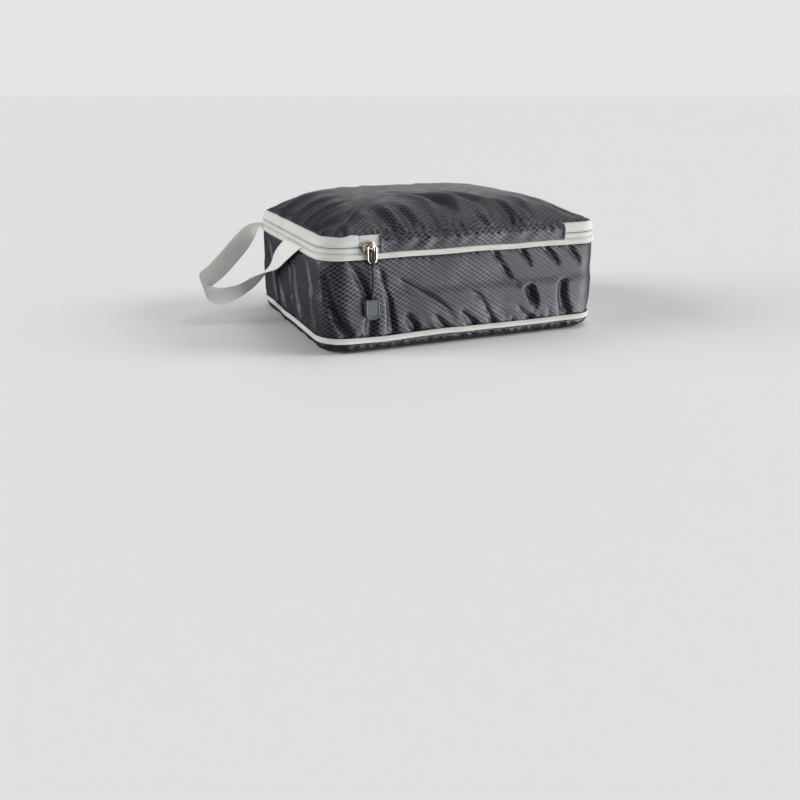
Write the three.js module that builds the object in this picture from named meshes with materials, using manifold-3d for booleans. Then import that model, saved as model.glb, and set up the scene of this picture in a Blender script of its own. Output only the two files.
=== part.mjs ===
// A compression packing cube with its expansion gusset open.
// Millimetres, +X right, +Y back, +Z up. Origin: centre of the bottom face.
import * as THREE from "three";
import { mergeVertices } from "three/addons/utils/BufferGeometryUtils.js";
import Module from "manifold-3d";

const wasm = await Module();
wasm.setup();

// ---- driving dimensions ----
const WIDTH = 300;
const DEPTH = 236;
const CORNER_RADIUS = 24;
const BASE_SEAM_Z = 10.2; // bottom panel meets the gusset
const BAND_SEAM_Z = 94.9; // gusset meets the access zip
const LID_SEAM_Z = 110.5; // access zip meets the lid
const LID_CROWN = 28; // rise of the stuffed lid above its seam
const FABRIC = 1.5; // thickness of every fabric solid
const GAP = 0.3; // clearance between touching pieces

const ACCESS_ZIP_Z = 100.9; // centre line of the access zip
const TAPE = 1.2; // thickness of the zip tape
const COIL_SPLIT = 0.6; // from a zip's centre line to either coil
const COIL_WIDTH = 1.1;
const COIL_DEPTH = 2.2;
const COMPRESSION_TAPE = 3.7; // visible width of a compression tape
const COMPRESSION_OFFSET = 2.1; // how far the compression tapes stand proud
const BINDING = 1.1;
const BINDING_WIDTH = 4.9;
const LEAN = 2.5; // how far the access zip leans in towards the lid seam

const HINGE_LEFT_X = -93.8; // the sewn hinge strip on the front
const HINGE_RIGHT_X = 105;
const HINGE_CLEARANCE = 1.3; // from the hinge line to the pieces below it

const SLIDER_LENGTH = 14;
const SLIDER_HEIGHT = 11;
const SLIDER_PLATE = 1.6;
const SLIDER_THROAT = 1.5; // from the zip's mid-plane to either plate
const ACCESS_SLIDER_X = -107;
const COMPRESSION_SLIDER_X = 112;
const WIRE_RADIUS = 0.85;
const WIRE_CLEARANCE = 1.1; // from the slider's face to the wire
const LOOP_WIDTH = 10.5;
const LOOP_LENGTH = 18.2;
const CORD_DIAMETER = 2.6;
const CORD_LENGTH = 31;
const CORD_DROP = 1.3; // from the loop's wire to the top of the cord
const TAB_WIDTH = 14.4;
const TAB_LENGTH = 20;
const TAB_THICKNESS = 3;

const WEBBING = 1.4;
const WEBBING_STEPS = 44;

const CORNER_STEPS = 6;

// ---- materials ----
const finish = (color, roughness, metalness = 0) =>
  new THREE.MeshStandardMaterial({ color, roughness, metalness });
const RIPSTOP = 0x2b2a2f;
const TAPE_GREY = 0xc3c6c0;
const COIL_GREY = 0xaeb1ac;
const BINDING_BLACK = 0x1b1b1d;
const BRONZE = 0x9a8f80;
const CORD_BLACK = 0x141416;
const TAB_SLATE = 0x3b3f47;
const WEBBING_GREY = 0xb9bab6;

const cube = new THREE.Group();

function addMesh(name, geometry, material, parent = cube) {
  const mesh = new THREE.Mesh(geometry, material);
  mesh.name = name;
  parent.add(mesh);
  return mesh;
}

// ---- paths round the cube ----
// A path is a list of points on the nominal outline with outward normals.
function corner(signX, signY, startAngle) {
  const points = [];
  for (let i = 0; i <= CORNER_STEPS; i += 1) {
    const angle = startAngle - (Math.PI / 2) * (i / CORNER_STEPS);
    const nx = Math.cos(angle);
    const ny = Math.sin(angle);
    points.push({
      x: signX * (WIDTH / 2 - CORNER_RADIUS) + CORNER_RADIUS * nx,
      y: signY * (DEPTH / 2 - CORNER_RADIUS) + CORNER_RADIUS * ny,
      nx,
      ny,
    });
  }
  return points;
}

const frontPoint = (x) => ({ x, y: -DEPTH / 2, nx: 0, ny: -1 });

// The four corners, from the front left one round the back to the front right one.
function corners() {
  return [
    ...corner(-1, -1, -Math.PI / 2),
    ...corner(-1, 1, -Math.PI),
    ...corner(1, 1, Math.PI / 2),
    ...corner(1, -1, 0),
  ];
}

const roundPath = () => [frontPoint(0), ...corners()];
const aroundPath = (startX, endX) => [frontPoint(startX), ...corners(), frontPoint(endX)];
const frontPath = (startX, endX) => [frontPoint(startX), frontPoint(endX)];

// ---- closed meshes from rings of vertices ----
function closedGeometry(vertices, triangles) {
  const volume = triangles.reduce((sum, [a, b, c]) => {
    const [p, q, r] = [a, b, c].map((i) => new THREE.Vector3(...vertices[i]));
    return sum + p.dot(q.cross(r));
  }, 0);
  const outward = volume > 0 ? triangles : triangles.map(([a, b, c]) => [a, c, b]);
  const geometry = new THREE.BufferGeometry();
  geometry.setAttribute("position", new THREE.Float32BufferAttribute(vertices.flat(), 3));
  geometry.setIndex(outward.flat());
  geometry.computeVertexNormals();
  return geometry;
}

// Joins rings of equal length side by side; a closed loft also joins its last ring to its first.
function loft(rings, closed, section2d = null) {
  const count = rings[0].length;
  const vertices = rings.flat();
  const triangles = [];
  const last = closed ? rings.length : rings.length - 1;
  for (let i = 0; i < last; i += 1) {
    const next = (i + 1) % rings.length;
    for (let j = 0; j < count; j += 1) {
      const k = (j + 1) % count;
      const [a, b, c, d] = [i * count + j, i * count + k, next * count + k, next * count + j];
      triangles.push([a, b, c], [a, c, d]);
    }
  }
  if (!closed) {
    const outline = section2d.map(([u, v]) => new THREE.Vector2(u, v));
    const end = (rings.length - 1) * count;
    const forward = !THREE.ShapeUtils.isClockWise(outline);
    const caps = THREE.ShapeUtils.triangulateShape(outline, []);
    for (const [a, b, c] of caps) {
      triangles.push(forward ? [c, b, a] : [a, b, c]);
      triangles.push(forward ? [end + a, end + b, end + c] : [end + c, end + b, end + a]);
    }
  }
  return closedGeometry(vertices, triangles);
}

// Sweeps a section, given as [outward offset, height] points, along a path.
function sweep(path, section, closed) {
  const rings = path.map(({ x, y, nx, ny }) => section.map(([o, z]) => [x + nx * o, y + ny * o, z]));
  return loft(rings, closed, section);
}

const strip = (offset, thickness, low, high) => [
  [offset - thickness / 2, low],
  [offset + thickness / 2, low],
  [offset + thickness / 2, high],
  [offset - thickness / 2, high],
];

// A strip that stands straight up to the coil and then leans inwards.
function leaningStrip(low, high) {
  const bend = ACCESS_ZIP_Z + COIL_SPLIT + COIL_WIDTH;
  const leanAt = (z) => (-LEAN * Math.max(0, z - bend)) / (LID_SEAM_Z - bend);
  const heights = low < bend ? [low, bend, high] : [low, high];
  const outer = heights.map((z) => [leanAt(z) + TAPE / 2, z]);
  const inner = heights.map((z) => [leanAt(z) - TAPE / 2, z]).reverse();
  return [...outer, ...inner];
}

// ---- fabric panels ----
// A panel closed by its rim: rings from the rim to a centre point, outside and inside.
function dishedPanel(outside, inside, centreOutside, centreInside) {
  const path = roundPath();
  const count = path.length;
  const rings = [...inside.slice().reverse(), ...outside];
  const vertices = rings.flatMap(({ scale, offset, z }) =>
    path.map(({ x, y, nx, ny }) => [(x + nx * offset) * scale, (y + ny * offset) * scale, z]));
  const triangles = [];
  for (let i = 0; i + 1 < rings.length; i += 1) {
    for (let j = 0; j < count; j += 1) {
      const k = (j + 1) % count;
      const [a, b, c, d] = [i * count + j, i * count + k, (i + 1) * count + k, (i + 1) * count + j];
      triangles.push([a, b, c], [a, c, d]);
    }
  }
  const insideCentre = vertices.length;
  vertices.push([0, 0, centreInside], [0, 0, centreOutside]);
  const lastRing = (rings.length - 1) * count;
  for (let j = 0; j < count; j += 1) {
    const k = (j + 1) % count;
    triangles.push([insideCentre, k, j]);
    triangles.push([insideCentre + 1, lastRing + j, lastRing + k]);
  }
  return closedGeometry(vertices, triangles);
}

function lidPanel() {
  const rimZ = LID_SEAM_Z + 0.1;
  const scales = [1, 0.985, 0.96, 0.92, 0.86, 0.75, 0.6, 0.35];
  const face = (offset, crown) =>
    scales.map((scale) => ({ scale, offset, z: rimZ + crown * (1 - scale ** 4) }));
  const inset = FABRIC + GAP;
  return dishedPanel(
    face(-LEAN, LID_CROWN), face(-LEAN - FABRIC, LID_CROWN - inset),
    LID_SEAM_Z + LID_CROWN, LID_SEAM_Z + LID_CROWN - inset);
}

function bottomPanel() {
  const rimZ = BASE_SEAM_Z - GAP;
  const profile = [[1.6, 1], [1.2, 0.65], [-1.4, 0.3], [-6, 0.08], [-13, 0]];
  const outside = profile.map(([offset, rise]) => ({ scale: 1, offset, z: rimZ * rise }));
  const inside = profile.map(([offset, rise]) => ({
    scale: 1,
    offset: offset - FABRIC,
    z: FABRIC + (rimZ - FABRIC) * rise,
  }));
  return dishedPanel(outside, inside, 0, FABRIC);
}

function gussetSection() {
  const low = BASE_SEAM_Z + GAP;
  const high = BAND_SEAM_Z - GAP;
  const tucked = -1.4;
  const bulge = 2;
  const profile = [[0, tucked], [0.1, tucked], [0.3, 1], [0.5, bulge], [0.7, 1], [0.84, tucked], [1, tucked]];
  const at = (share, offset) => [offset, low + (high - low) * share];
  const outer = profile.map(([share, offset]) => at(share, offset));
  const inner = profile.map(([share, offset]) => at(share, offset - FABRIC)).reverse();
  return [...outer, ...inner];
}

const fabric = () => finish(RIPSTOP, 0.5);
const tape = () => finish(TAPE_GREY, 0.85);
const coil = () => finish(COIL_GREY, 0.6);
const binding = () => finish(BINDING_BLACK, 0.9);

// ---- base: bottom panel, gusset and the lower half of the compression zip ----
const bindingOffset = -3.9;
const coilAt = (offset, low) => strip(offset, COIL_DEPTH, low, low + COIL_WIDTH);
const bindingAt = (offset, low) => strip(offset, BINDING, low, low + BINDING_WIDTH);

addMesh("bottom_panel", bottomPanel(), fabric());
addMesh("bottom_seam_binding", sweep(roundPath(), bindingAt(bindingOffset, BASE_SEAM_Z - 1.6), true), binding());
addMesh("expansion_gusset", sweep(roundPath(), gussetSection(), true), fabric());

const lowerTapeLow = BASE_SEAM_Z + GAP;
const lowerTapeHigh = lowerTapeLow + COMPRESSION_TAPE;
addMesh("lower_compression_tape",
  sweep(roundPath(), strip(COMPRESSION_OFFSET, TAPE, lowerTapeLow, lowerTapeHigh), true), tape());
addMesh("lower_compression_coil",
  sweep(roundPath(), coilAt(COMPRESSION_OFFSET, lowerTapeHigh + GAP), true), coil());

// ---- band: the upper half of the compression zip and the lower half of the access zip ----
const upperTapeHigh = BAND_SEAM_Z - GAP;
const upperTapeLow = upperTapeHigh - COMPRESSION_TAPE;
const upperCoilLow = upperTapeLow - GAP - COIL_WIDTH;
addMesh("upper_compression_tape",
  sweep(roundPath(), strip(COMPRESSION_OFFSET, TAPE, upperTapeLow, upperTapeHigh), true), tape());
addMesh("upper_compression_coil",
  sweep(roundPath(), coilAt(COMPRESSION_OFFSET, upperCoilLow), true), coil());
addMesh("band_seam_binding", sweep(roundPath(), bindingAt(bindingOffset, BAND_SEAM_Z - 2.4), true), binding());

const accessLow = BAND_SEAM_Z + GAP;
const lowerCoilHigh = ACCESS_ZIP_Z - COIL_SPLIT;
const upperCoilStart = ACCESS_ZIP_Z + COIL_SPLIT;
const accessRound = aroundPath(HINGE_LEFT_X - GAP, HINGE_RIGHT_X + GAP);
addMesh("access_lower_tape",
  sweep(accessRound, strip(0, TAPE, accessLow, lowerCoilHigh - COIL_WIDTH - GAP), false), tape());
addMesh("access_lower_coil", sweep(accessRound, coilAt(0, lowerCoilHigh - COIL_WIDTH), false), coil());

const bandTop = LID_SEAM_Z - HINGE_CLEARANCE;
addMesh("front_hinge_strip",
  sweep(frontPath(HINGE_LEFT_X, HINGE_RIGHT_X), leaningStrip(accessLow, bandTop), false), fabric());

// The short end of the upper half that stays joined to the strip under the slider.
const closedEndX = ACCESS_SLIDER_X - SLIDER_LENGTH / 2 - 0.6;
const closedEnd = frontPath(closedEndX, HINGE_LEFT_X - GAP);
const upperTapeStart = upperCoilStart + COIL_WIDTH + GAP;
addMesh("access_closed_end_tape", sweep(closedEnd, leaningStrip(upperTapeStart, bandTop), false), tape());
addMesh("access_closed_end_coil", sweep(closedEnd, coilAt(0, upperCoilStart), false), coil());

// ---- lid: crowned panel and the upper half of the access zip ----
const lidZip = aroundPath(closedEndX - GAP, HINGE_RIGHT_X + GAP);
addMesh("lid_panel", lidPanel(), fabric());
const lidBindingOffset = bindingOffset - LEAN;
const lidBindingLow = LID_SEAM_Z - GAP - BINDING_WIDTH;
addMesh("lid_seam_binding", sweep(roundPath(), bindingAt(lidBindingOffset, lidBindingLow), true), binding());
addMesh("access_upper_tape",
  sweep(lidZip, leaningStrip(upperTapeStart, LID_SEAM_Z - GAP), false), tape());
addMesh("access_upper_coil", sweep(lidZip, coilAt(0, upperCoilStart), false), coil());

// ---- side handle: one length of webbing sewn into the band seam at both ends ----
// Each station holds the middle of the webbing and the vector from there to one edge.
const HANDLE_STATIONS = [
  { at: [-154.2, -40, 94.4], half: [0, 19, 0] },
  { at: [-156, -12, 84], half: [0, 4.5, 9.2] },
  { at: [-158.5, 18, 69], half: [1, 5.5, 8.3] },
  { at: [-163, 42, 55], half: [6.2, 7.5, 2] },
  { at: [-175, 51, 42], half: [3.5, 7.5, -6] },
  { at: [-193, 51, 32], half: [0.9, 5, -8.6] },
  { at: [-212, 51, 28], half: [1, 1.5, -9.8] },
  { at: [-226, 53, 33], half: [1.2, -3, -9.4] },
  { at: [-229, 58, 43], half: [3, -3.8, -8.8] },
  { at: [-212, 66, 54], half: [6.8, -3, -6.7] },
  { at: [-195, 77, 66], half: [6.8, -3, -6.7] },
  { at: [-177, 90, 80], half: [5.8, -5, -6.5] },
  { at: [-163, 101, 91], half: [3, -8.5, -4] },
  { at: [-154.2, 108, 94.4], half: [0, -10, 0] },
];

function ribbon(stations, thickness, steps) {
  const middle = new THREE.CatmullRomCurve3(stations.map(({ at }) => new THREE.Vector3(...at)));
  const edge = new THREE.CatmullRomCurve3(stations.map(({ half }) => new THREE.Vector3(...half)));
  const section = [[-1, -1], [1, -1], [1, 1], [-1, 1]];
  const rings = [];
  for (let i = 0; i <= steps; i += 1) {
    const t = i / steps;
    const centre = middle.getPoint(t);
    const half = edge.getPoint(t);
    const normal = middle.getTangent(t).cross(half).setLength(thickness / 2);
    rings.push(section.map(([u, v]) =>
      centre.clone().addScaledVector(half, u).addScaledVector(normal, v).toArray()));
  }
  return loft(rings, false, section);
}

addMesh("side_handle", ribbon(HANDLE_STATIONS, WEBBING, WEBBING_STEPS), finish(WEBBING_GREY, 0.9));

// ---- sliders and their pulls ----
// Each is built at the origin: X along the zip, Y towards the cube, Z up,
// with the zip's mid-plane at Y = 0, and then turned and moved into place.
function solid(geometry) {
  const bare = geometry.clone();
  bare.deleteAttribute("normal");
  bare.deleteAttribute("uv");
  const merged = mergeVertices(bare, 1e-5);
  return new wasm.Manifold(new wasm.Mesh({
    numProp: 3,
    vertProperties: Float32Array.from(merged.attributes.position.array),
    triVerts: Uint32Array.from(merged.index.array),
  }));
}

function geometryOf(manifold) {
  const { vertProperties, triVerts } = manifold.getMesh();
  const geometry = new THREE.BufferGeometry();
  geometry.setAttribute("position", new THREE.BufferAttribute(vertProperties, 3));
  geometry.setIndex(new THREE.BufferAttribute(triVerts, 1));
  geometry.computeVertexNormals();
  return geometry;
}

function block(sizeX, sizeY, sizeZ, x, y, z) {
  return new THREE.BoxGeometry(sizeX, sizeY, sizeZ).translate(x, y, z);
}

// Extrudes an XZ outline along Y, from nearY towards the cube.
function plate(outline, thickness, nearY) {
  const shape = new THREE.Shape(outline.map(([x, z]) => new THREE.Vector2(x, -z)));
  const flat = new THREE.ExtrudeGeometry(shape, { depth: thickness, bevelEnabled: false });
  return flat.rotateX(-Math.PI / 2).translate(0, nearY, 0);
}

const LUG_X = 3; // the lug that carries the pull, from the slider's middle
const LUG_Z = 1.7;
const LUG_GAP = WIRE_CLEARANCE + 2 * WIRE_RADIUS + 0.5; // room for the wire under the lug
const LUG_BAR = 1.2;
const WIRE_Y = -(SLIDER_THROAT + SLIDER_PLATE + WIRE_CLEARANCE + WIRE_RADIUS);

function sliderBody() {
  const halfL = SLIDER_LENGTH / 2;
  const halfH = SLIDER_HEIGHT / 2;
  const outline = [
    [-halfL, -halfH * 0.72], [-halfL + 1.5, -halfH * 0.86], [halfL - 5, -halfH], [halfL - 1.4, -halfH],
    [halfL, -halfH * 0.6], [halfL, halfH * 0.6], [halfL - 1.4, halfH], [halfL - 5, halfH],
    [-halfL + 1.5, halfH * 0.86], [-halfL, halfH * 0.72],
  ];
  const front = plate(outline, SLIDER_PLATE, -(SLIDER_THROAT + SLIDER_PLATE));
  const back = block(SLIDER_LENGTH, SLIDER_PLATE, 6.4, 0, SLIDER_THROAT + SLIDER_PLATE / 2, 0);
  const web = block(6, 2 * SLIDER_THROAT + 1, 2 * (COIL_SPLIT - GAP), halfL - 3.5, 0, 0);
  const face = -(SLIDER_THROAT + SLIDER_PLATE);
  const legLength = LUG_GAP + LUG_BAR;
  const legY = face - legLength / 2 + 0.2;
  const legSize = [3, legLength + 0.4, 1.25];
  const legReach = WIRE_RADIUS + 0.4 + legSize[2] / 2;
  const legs = [-1, 1].map((side) => block(...legSize, LUG_X, legY, LUG_Z + side * legReach));
  const barSize = [legSize[0], LUG_BAR, 2 * legReach + legSize[2]];
  const bar = block(...barSize, LUG_X, face - LUG_GAP - LUG_BAR / 2, LUG_Z);
  const pieces = [front, back, web, ...legs, bar].map(solid);
  return geometryOf(pieces.reduce((whole, piece) => whole.add(piece)));
}

// A closed wire loop in the XZ plane: its top bar is the pivot, at the local origin.
function wireLoop() {
  const halfW = LOOP_WIDTH / 2 - WIRE_RADIUS;
  const drop = LOOP_LENGTH - 2 * WIRE_RADIUS;
  const bend = 1.4;
  const points = [];
  const arc = (cx, cz, radius, from, to, steps) => {
    for (let i = 0; i <= steps; i += 1) {
      const angle = from + ((to - from) * i) / steps;
      points.push(new THREE.Vector3(cx + radius * Math.cos(angle), 0, cz + radius * Math.sin(angle)));
    }
  };
  arc(-halfW + bend, -bend, bend, Math.PI / 2, Math.PI, 2);
  arc(0, -drop + halfW, halfW, Math.PI, 2 * Math.PI, 8);
  arc(halfW - bend, -bend, bend, 0, Math.PI / 2, 2);
  const sides = 8;
  const section = Array.from({ length: sides }, (_, j) => {
    const angle = (2 * Math.PI * j) / sides;
    return [WIRE_RADIUS * Math.cos(angle), WIRE_RADIUS * Math.sin(angle)];
  });
  const rings = points.map((point, i) => {
    const before = points[(i + points.length - 1) % points.length];
    const after = points[(i + 1) % points.length];
    const along = after.clone().sub(before).normalize();
    const outward = new THREE.Vector3(along.z, 0, -along.x);
    return section.map(([u, v]) => point.clone().addScaledVector(outward, u).toArray()
      .map((value, axis) => (axis === 1 ? value + v : value)));
  });
  return loft(rings, true);
}

// The cord hangs straight down from the local origin.
function pullCord() {
  const steps = 6;
  const spine = Array.from({ length: steps + 1 }, (_, i) =>
    new THREE.Vector3(0, 0, -(CORD_LENGTH * i) / steps));
  const circle = new THREE.Shape().absarc(0, 0, CORD_DIAMETER / 2, 0, 2 * Math.PI);
  const section = new THREE.Shape(circle.getPoints(4).slice(0, 8));
  return new THREE.ExtrudeGeometry(section, { steps, extrudePath: new THREE.CatmullRomCurve3(spine) });
}

// A flat tab with a rounded lower end; its top edge is at the local origin.
function pullTab() {
  const half = TAB_WIDTH / 2;
  const outline = [[-half + 1, 0], [-half, -1], [-half, -TAB_LENGTH + 5]];
  for (let i = 1; i < 6; i += 1) {
    const angle = Math.PI + (Math.PI * i) / 6;
    outline.push([half * Math.cos(angle), -TAB_LENGTH + 5 + 5 * Math.sin(angle)]);
  }
  outline.push([half, -TAB_LENGTH + 5], [half, -1], [half - 1, 0]);
  return plate(outline, TAB_THICKNESS, -TAB_THICKNESS / 2);
}

function addSlider(prefix, place) {
  const group = new THREE.Group();
  place(group);
  cube.add(group);
  addMesh(`${prefix}_slider`, sliderBody(), finish(BRONZE, 0.3, 1), group);
  const pull = new THREE.Group();
  pull.position.set(LUG_X, WIRE_Y, LUG_Z);
  group.add(pull);
  addMesh(`${prefix}_pull_loop`, wireLoop(), finish(BRONZE, 0.3, 1), pull);
  const cordTop = -(LOOP_LENGTH - WIRE_RADIUS) - CORD_DROP;
  const cordMesh = addMesh(`${prefix}_pull_cord`, pullCord(), finish(CORD_BLACK, 0.8), pull);
  cordMesh.position.z = cordTop;
  const tabMesh = addMesh(`${prefix}_pull_tab`, pullTab(), finish(TAB_SLATE, 0.6), pull);
  tabMesh.position.z = cordTop - CORD_LENGTH - GAP;
}

addSlider("access", (group) => {
  group.position.set(ACCESS_SLIDER_X, -DEPTH / 2, ACCESS_ZIP_Z);
});
addSlider("compression", (group) => {
  const gapCentre = upperCoilLow - COIL_SPLIT;
  group.position.set(COMPRESSION_SLIDER_X, DEPTH / 2 + COMPRESSION_OFFSET, gapCentre);
  group.rotation.z = Math.PI;
});

export default cube;
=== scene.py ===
"""Visual model of a compression packing cube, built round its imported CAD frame.
"""
import math
import bmesh
import bpy
import numpy as np
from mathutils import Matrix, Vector


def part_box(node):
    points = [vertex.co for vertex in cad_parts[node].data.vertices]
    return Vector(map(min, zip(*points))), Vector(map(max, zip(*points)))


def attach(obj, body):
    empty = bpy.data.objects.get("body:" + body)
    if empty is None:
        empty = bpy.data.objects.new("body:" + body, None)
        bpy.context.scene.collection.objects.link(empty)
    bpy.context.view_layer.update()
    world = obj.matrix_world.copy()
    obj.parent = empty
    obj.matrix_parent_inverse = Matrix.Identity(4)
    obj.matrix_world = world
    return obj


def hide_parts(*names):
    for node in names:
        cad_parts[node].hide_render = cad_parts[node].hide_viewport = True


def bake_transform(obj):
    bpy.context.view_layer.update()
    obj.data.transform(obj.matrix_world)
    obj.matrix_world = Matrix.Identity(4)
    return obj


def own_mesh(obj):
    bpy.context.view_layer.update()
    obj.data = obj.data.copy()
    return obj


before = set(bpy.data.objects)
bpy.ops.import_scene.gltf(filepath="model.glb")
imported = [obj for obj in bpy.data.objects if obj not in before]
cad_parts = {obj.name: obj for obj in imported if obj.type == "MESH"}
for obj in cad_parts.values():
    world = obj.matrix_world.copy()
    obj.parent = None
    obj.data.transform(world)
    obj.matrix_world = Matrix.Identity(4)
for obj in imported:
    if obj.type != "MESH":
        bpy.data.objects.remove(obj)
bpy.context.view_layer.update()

MM = 0.001


def cad(node):
    """Lowest and highest corner of a CAD node, in millimetres."""
    low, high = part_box(node)
    return [v / MM for v in low], [v / MM for v in high]


def middle_of(node):
    """Middle of a CAD node's box, in millimetres."""
    return [(a + b) / 2 for a, b in zip(*cad(node))]


# ---- frame sizes
TAPE_THICK = 1.2
CORNER = 24.0
LEAN = 2.5
band_low, band_high = cad("access_lower_tape")
HALF_X = band_high[0] - TAPE_THICK / 2
HALF_Y = band_high[1] - TAPE_THICK / 2
BASE_Z = cad("expansion_gusset")[0][2]
BAND_Z = band_low[2]
LID_Z = cad("lid_panel")[0][2]
TOP_Z = cad("lid_panel")[1][2]
ZIP_Z = (cad("access_lower_coil")[1][2] + cad("access_upper_coil")[0][2]) / 2
STRIP_LEFT, STRIP_RIGHT = cad("front_hinge_strip")[0][0], cad("front_hinge_strip")[1][0]
CLOSED_END = cad("access_closed_end_tape")[0][0]
GUSSET_TOP = cad("expansion_gusset")[1][2]
CORD_X = middle_of("access_pull_cord")[0]
CLOTH_THICK = 0.5

STRAIGHT_X = HALF_X - CORNER
STRAIGHT_Y = HALF_Y - CORNER
QUARTER = math.pi * CORNER / 2
RUNS = [STRAIGHT_X, QUARTER, 2 * STRAIGHT_Y, QUARTER, 2 * STRAIGHT_X,
        QUARTER, 2 * STRAIGHT_Y, QUARTER, STRAIGHT_X]
STARTS = np.concatenate([[0.0], np.cumsum(RUNS)])
PERIMETER = float(STARTS[-1])


# ---- camera
CAMERA_AT = (-379.8, -852.6, 234.6)
CAMERA_TURN = math.radians(22.6)
CAMERA_DIP = math.radians(19.89)
CAMERA_LENS = 38.25


def make_camera():
    data = bpy.data.cameras.new("camera")
    data.lens = CAMERA_LENS
    data.sensor_width = 36
    data.clip_start = 0.01
    camera = bpy.data.objects.new("camera", data)
    bpy.context.scene.collection.objects.link(camera)
    camera.location = Vector(CAMERA_AT) * MM
    flat = math.cos(CAMERA_DIP)
    aim = Vector((math.sin(CAMERA_TURN) * flat, math.cos(CAMERA_TURN) * flat, -math.sin(CAMERA_DIP)))
    camera.rotation_euler = aim.to_track_quat("-Z", "Y").to_euler()
    bpy.context.scene.camera = camera


make_camera()
bpy.context.scene.view_settings.view_transform = "Standard"


# ---- node helpers
def new_material(name):
    material = bpy.data.materials.new(name)
    material.use_nodes = True
    tree = material.node_tree
    tree.nodes.clear()
    output = tree.nodes.new("ShaderNodeOutputMaterial")
    shader = tree.nodes.new("ShaderNodeBsdfPrincipled")
    tree.links.new(shader.outputs[0], output.inputs[0])
    return material, tree, shader


def feed(tree, socket, value):
    if hasattr(value, "is_output"):
        tree.links.new(value, socket)
    else:
        socket.default_value = value


def maths(tree, operation, a, b=None, c=None):
    node = tree.nodes.new("ShaderNodeMath")
    node.operation = operation
    for i, value in enumerate((a, b, c)):
        if value is not None:
            feed(tree, node.inputs[i], value)
    return node.outputs[0]


def remap(tree, value, low, high, to_low=0.0, to_high=1.0):
    node = tree.nodes.new("ShaderNodeMapRange")
    node.interpolation_type = "SMOOTHSTEP"
    for i, v in enumerate((value, low, high, to_low, to_high)):
        feed(tree, node.inputs[i], v)
    return node.outputs[0]


def mix_value(tree, share, a, b):
    node = tree.nodes.new("ShaderNodeMix")
    for i, value in zip((0, 2, 3), (share, a, b)):
        feed(tree, node.inputs[i], value)
    return node.outputs[0]


def mix_color(tree, share, a, b):
    node = tree.nodes.new("ShaderNodeMix")
    node.data_type = "RGBA"
    feed(tree, node.inputs[0], share)
    feed(tree, node.inputs[6], a)
    feed(tree, node.inputs[7], b)
    return node.outputs[2]


def noise(tree, scale, detail):
    node = tree.nodes.new("ShaderNodeTexNoise")
    node.inputs["Scale"].default_value = scale
    node.inputs["Detail"].default_value = detail
    tree.links.new(tree.nodes.new("ShaderNodeTexCoord").outputs["Object"], node.inputs["Vector"])
    return node.outputs[0]


def bump(tree, shader, height, distance, strength, under=None):
    node = tree.nodes.new("ShaderNodeBump")
    node.inputs["Strength"].default_value = strength
    node.inputs["Distance"].default_value = distance
    tree.links.new(height, node.inputs["Height"])
    if under is not None:
        tree.links.new(under, node.inputs["Normal"])
    tree.links.new(node.outputs[0], shader.inputs["Normal"])
    return node.outputs[0]


def cloth_axes(tree):
    """The two cloth coordinates, in metres along and across the piece."""
    uv = tree.nodes.new("ShaderNodeUVMap")
    uv.uv_map = "cloth"
    split = tree.nodes.new("ShaderNodeSeparateXYZ")
    tree.links.new(uv.outputs[0], split.inputs[0])
    return split.outputs[0], split.outputs[1]


def ridges(tree, axis, pitch):
    """1 on evenly spaced lines and 0 halfway between them."""
    turn = maths(tree, "MULTIPLY", axis, 2 * math.pi / pitch)
    return maths(tree, "MULTIPLY_ADD", maths(tree, "COSINE", turn), 0.5, 0.5)


def dress(tree, shader, inputs):
    """Gives named inputs of the shader a value or another node's output."""
    for name, value in inputs.items():
        feed(tree, shader.inputs[name], value)


def tinted(color, share=1):
    return tuple(share * c for c in color) + (1,)


# ---- materials
GRID_LEAN = math.radians(33)
GRID_LINES = ((1, 165), (-1, 142))  # each set's slant, and its lines round the cube
THREAD_SHINE = 0.6


def ripstop_material():
    """Coated black nylon with a diamond grid of thicker pale threads, wider than it is high."""
    material, tree, shader = new_material("ripstop")
    u, v = cloth_axes(tree)
    sine, cosine = math.sin(GRID_LEAN), math.cos(GRID_LEAN)
    lines = []
    for sign, turns in GRID_LINES:
        across = maths(tree, "MULTIPLY_ADD", v, sign * cosine, maths(tree, "MULTIPLY", u, sine))
        along = maths(tree, "MULTIPLY_ADD", v, -sign * sine, maths(tree, "MULTIPLY", u, cosine))
        twist = remap(tree, ridges(tree, along, 0.55 * MM), 0, 1, 0.72, 1.0)
        line = remap(tree, ridges(tree, across, PERIMETER * MM * sine / turns), 0.90, 0.985)
        lines.append(maths(tree, "MULTIPLY", line, twist))
    grid = maths(tree, "MAXIMUM", *lines)
    worn = remap(tree, noise(tree, 26, 3), 0.35, 0.7, 0.45, 1.0)
    thread = maths(tree, "MULTIPLY", grid, worn)
    cloth = mix_color(tree, noise(tree, 14, 4), (0.004, 0.004, 0.006, 1), (0.009, 0.009, 0.013, 1))
    dress(tree, shader, {
        "Base Color": mix_color(tree, thread, cloth, (0.150, 0.152, 0.185, 1)),
        "Metallic": maths(tree, "MULTIPLY", thread, THREAD_SHINE),
        "Roughness": remap(tree, noise(tree, 90, 2), 0.3, 0.7, 0.30, 0.40),
        "Specular IOR Level": 0.30,
    })
    weave = maths(tree, "ADD", ridges(tree, u, 0.42 * MM), ridges(tree, v, 0.42 * MM))
    fine = bump(tree, shader, weave, 0.03 * MM, 0.5)
    raised = bump(tree, shader, grid, 0.16 * MM, 0.9, under=fine)
    bump(tree, shader, noise(tree, 60, 3), 0.9 * MM, 0.25, under=raised)
    return material


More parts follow.
